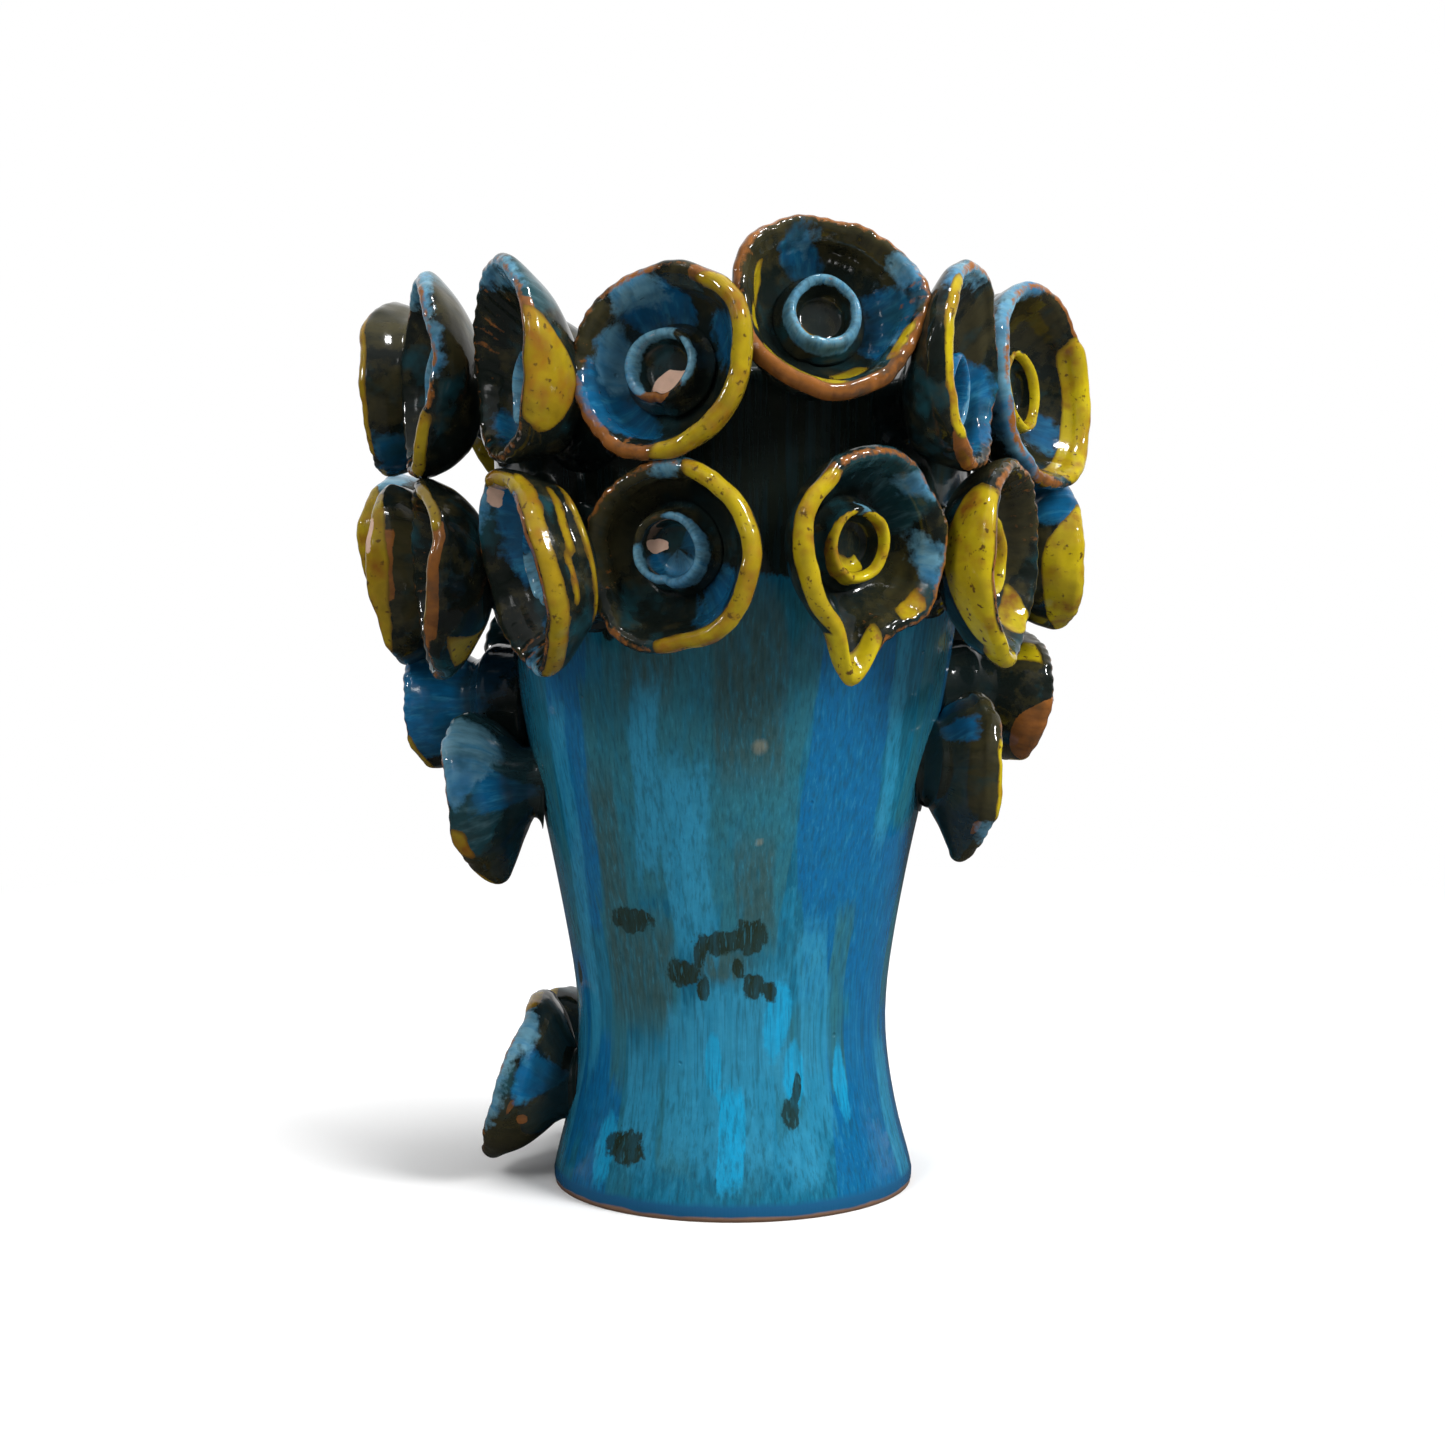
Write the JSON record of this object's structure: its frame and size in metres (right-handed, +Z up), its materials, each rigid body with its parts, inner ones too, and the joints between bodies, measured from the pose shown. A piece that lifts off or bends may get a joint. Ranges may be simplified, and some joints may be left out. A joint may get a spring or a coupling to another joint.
{
  "type": "pottery vase",
  "caption": "Free-standing glazed pottery vase, waisted and open at the top, with rows of hand-pressed clay blooms round its rim, collar, sides and foot.",
  "frame": {"origin": "centre of the flat underside of the foot, on the surface the vase stands on", "axes": "+Z up through the open mouth, -Y towards the front with the two rows of blooms over the plain painted wall"},
  "size_m": [0.2437, 0.2277, 0.3041],
  "materials": {
    "vessel_glaze": "glossy",
    "rim_bloom_01_petal_glaze": "glossy",
    "rim_bloom_01_cup_glaze": "glossy",
    "rim_bloom_02_petal_glaze": "glossy",
    "rim_bloom_02_cup_glaze": "glossy",
    "rim_bloom_03_petal_glaze": "glossy",
    "rim_bloom_03_cup_glaze": "glossy",
    "rim_bloom_04_petal_glaze": "glossy",
    "rim_bloom_04_cup_glaze": "glossy",
    "rim_bloom_05_petal_glaze": "glossy",
    "rim_bloom_05_cup_glaze": "glossy",
    "rim_bloom_06_petal_glaze": "glossy",
    "rim_bloom_06_cup_glaze": "glossy",
    "rim_bloom_07_petal_glaze": "glossy",
    "rim_bloom_07_cup_glaze": "glossy",
    "rim_bloom_08_petal_glaze": "glossy",
    "rim_bloom_08_cup_glaze": "glossy",
    "rim_bloom_09_petal_glaze": "glossy",
    "rim_bloom_09_cup_glaze": "glossy",
    "rim_bloom_10_petal_glaze": "glossy",
    "rim_bloom_10_cup_glaze": "glossy",
    "rim_bloom_11_petal_glaze": "glossy",
    "rim_bloom_11_cup_glaze": "glossy",
    "collar_bloom_01_petal_glaze": "glossy",
    "collar_bloom_01_cup_glaze": "glossy",
    "collar_bloom_02_petal_glaze": "glossy",
    "collar_bloom_02_cup_glaze": "glossy",
    "collar_bloom_03_petal_glaze": "glossy",
    "collar_bloom_03_cup_glaze": "glossy",
    "collar_bloom_04_petal_glaze": "glossy",
    "collar_bloom_04_cup_glaze": "glossy",
    "collar_bloom_05_petal_glaze": "glossy",
    "collar_bloom_05_cup_glaze": "glossy",
    "collar_bloom_06_petal_glaze": "glossy",
    "collar_bloom_06_cup_glaze": "glossy",
    "collar_bloom_07_petal_glaze": "glossy",
    "collar_bloom_07_cup_glaze": "glossy",
    "collar_bloom_08_petal_glaze": "glossy",
    "collar_bloom_08_cup_glaze": "glossy",
    "collar_bloom_09_petal_glaze": "glossy",
    "collar_bloom_09_cup_glaze": "glossy",
    "collar_bloom_10_petal_glaze": "glossy",
    "collar_bloom_10_cup_glaze": "glossy",
    "collar_bloom_11_petal_glaze": "glossy",
    "collar_bloom_11_cup_glaze": "glossy",
    "side_bloom_01_petal_glaze": "glossy",
    "side_bloom_01_cup_glaze": "glossy",
    "side_bloom_02_petal_glaze": "glossy",
    "side_bloom_02_cup_glaze": "glossy",
    "side_bloom_03_petal_glaze": "glossy",
    "side_bloom_03_cup_glaze": "glossy",
    "side_bloom_04_petal_glaze": "glossy",
    "side_bloom_04_cup_glaze": "glossy",
    "side_bloom_05_petal_glaze": "glossy",
    "side_bloom_05_cup_glaze": "glossy",
    "foot_bloom_01_petal_glaze": "glossy",
    "foot_bloom_01_cup_glaze": "glossy",
    "foot_bloom_02_petal_glaze": "glossy",
    "foot_bloom_02_cup_glaze": "glossy"
  },
  "bodies": {
    "root": {"vessel_lower": "vessel_glaze", "vessel_upper": "vessel_glaze", "rim_bloom_01_petals": "rim_bloom_01_petal_glaze", "rim_bloom_01_cup": "rim_bloom_01_cup_glaze", "rim_bloom_02_petals": "rim_bloom_02_petal_glaze", "rim_bloom_02_cup": "rim_bloom_02_cup_glaze", "rim_bloom_03_petals": "rim_bloom_03_petal_glaze", "rim_bloom_03_cup": "rim_bloom_03_cup_glaze", "rim_bloom_04_petals": "rim_bloom_04_petal_glaze", "rim_bloom_04_cup": "rim_bloom_04_cup_glaze", "rim_bloom_05_petals": "rim_bloom_05_petal_glaze", "rim_bloom_05_cup": "rim_bloom_05_cup_glaze", "rim_bloom_06_petals": "rim_bloom_06_petal_glaze", "rim_bloom_06_cup": "rim_bloom_06_cup_glaze", "rim_bloom_07_petals": "rim_bloom_07_petal_glaze", "rim_bloom_07_cup": "rim_bloom_07_cup_glaze", "rim_bloom_08_petals": "rim_bloom_08_petal_glaze", "rim_bloom_08_cup": "rim_bloom_08_cup_glaze", "rim_bloom_09_petals": "rim_bloom_09_petal_glaze", "rim_bloom_09_cup": "rim_bloom_09_cup_glaze", "rim_bloom_10_petals": "rim_bloom_10_petal_glaze", "rim_bloom_10_cup": "rim_bloom_10_cup_glaze", "rim_bloom_11_petals": "rim_bloom_11_petal_glaze", "rim_bloom_11_cup": "rim_bloom_11_cup_glaze", "collar_bloom_01_petals": "collar_bloom_01_petal_glaze", "collar_bloom_01_cup": "collar_bloom_01_cup_glaze", "collar_bloom_02_petals": "collar_bloom_02_petal_glaze", "collar_bloom_02_cup": "collar_bloom_02_cup_glaze", "collar_bloom_03_petals": "collar_bloom_03_petal_glaze", "collar_bloom_03_cup": "collar_bloom_03_cup_glaze", "collar_bloom_04_petals": "collar_bloom_04_petal_glaze", "collar_bloom_04_cup": "collar_bloom_04_cup_glaze", "collar_bloom_05_petals": "collar_bloom_05_petal_glaze", "collar_bloom_05_cup": "collar_bloom_05_cup_glaze", "collar_bloom_06_petals": "collar_bloom_06_petal_glaze", "collar_bloom_06_cup": "collar_bloom_06_cup_glaze", "collar_bloom_07_petals": "collar_bloom_07_petal_glaze", "collar_bloom_07_cup": "collar_bloom_07_cup_glaze", "collar_bloom_08_petals": "collar_bloom_08_petal_glaze", "collar_bloom_08_cup": "collar_bloom_08_cup_glaze", "collar_bloom_09_petals": "collar_bloom_09_petal_glaze", "collar_bloom_09_cup": "collar_bloom_09_cup_glaze", "collar_bloom_10_petals": "collar_bloom_10_petal_glaze", "collar_bloom_10_cup": "collar_bloom_10_cup_glaze", "collar_bloom_11_petals": "collar_bloom_11_petal_glaze", "collar_bloom_11_cup": "collar_bloom_11_cup_glaze", "side_bloom_01_petals": "side_bloom_01_petal_glaze", "side_bloom_01_cup": "side_bloom_01_cup_glaze", "side_bloom_02_petals": "side_bloom_02_petal_glaze", "side_bloom_02_cup": "side_bloom_02_cup_glaze", "side_bloom_03_petals": "side_bloom_03_petal_glaze", "side_bloom_03_cup": "side_bloom_03_cup_glaze", "side_bloom_04_petals": "side_bloom_04_petal_glaze", "side_bloom_04_cup": "side_bloom_04_cup_glaze", "side_bloom_05_petals": "side_bloom_05_petal_glaze", "side_bloom_05_cup": "side_bloom_05_cup_glaze", "foot_bloom_01_petals": "foot_bloom_01_petal_glaze", "foot_bloom_01_cup": "foot_bloom_01_cup_glaze", "foot_bloom_02_petals": "foot_bloom_02_petal_glaze", "foot_bloom_02_cup": "foot_bloom_02_cup_glaze"}
  },
  "joints": []
}
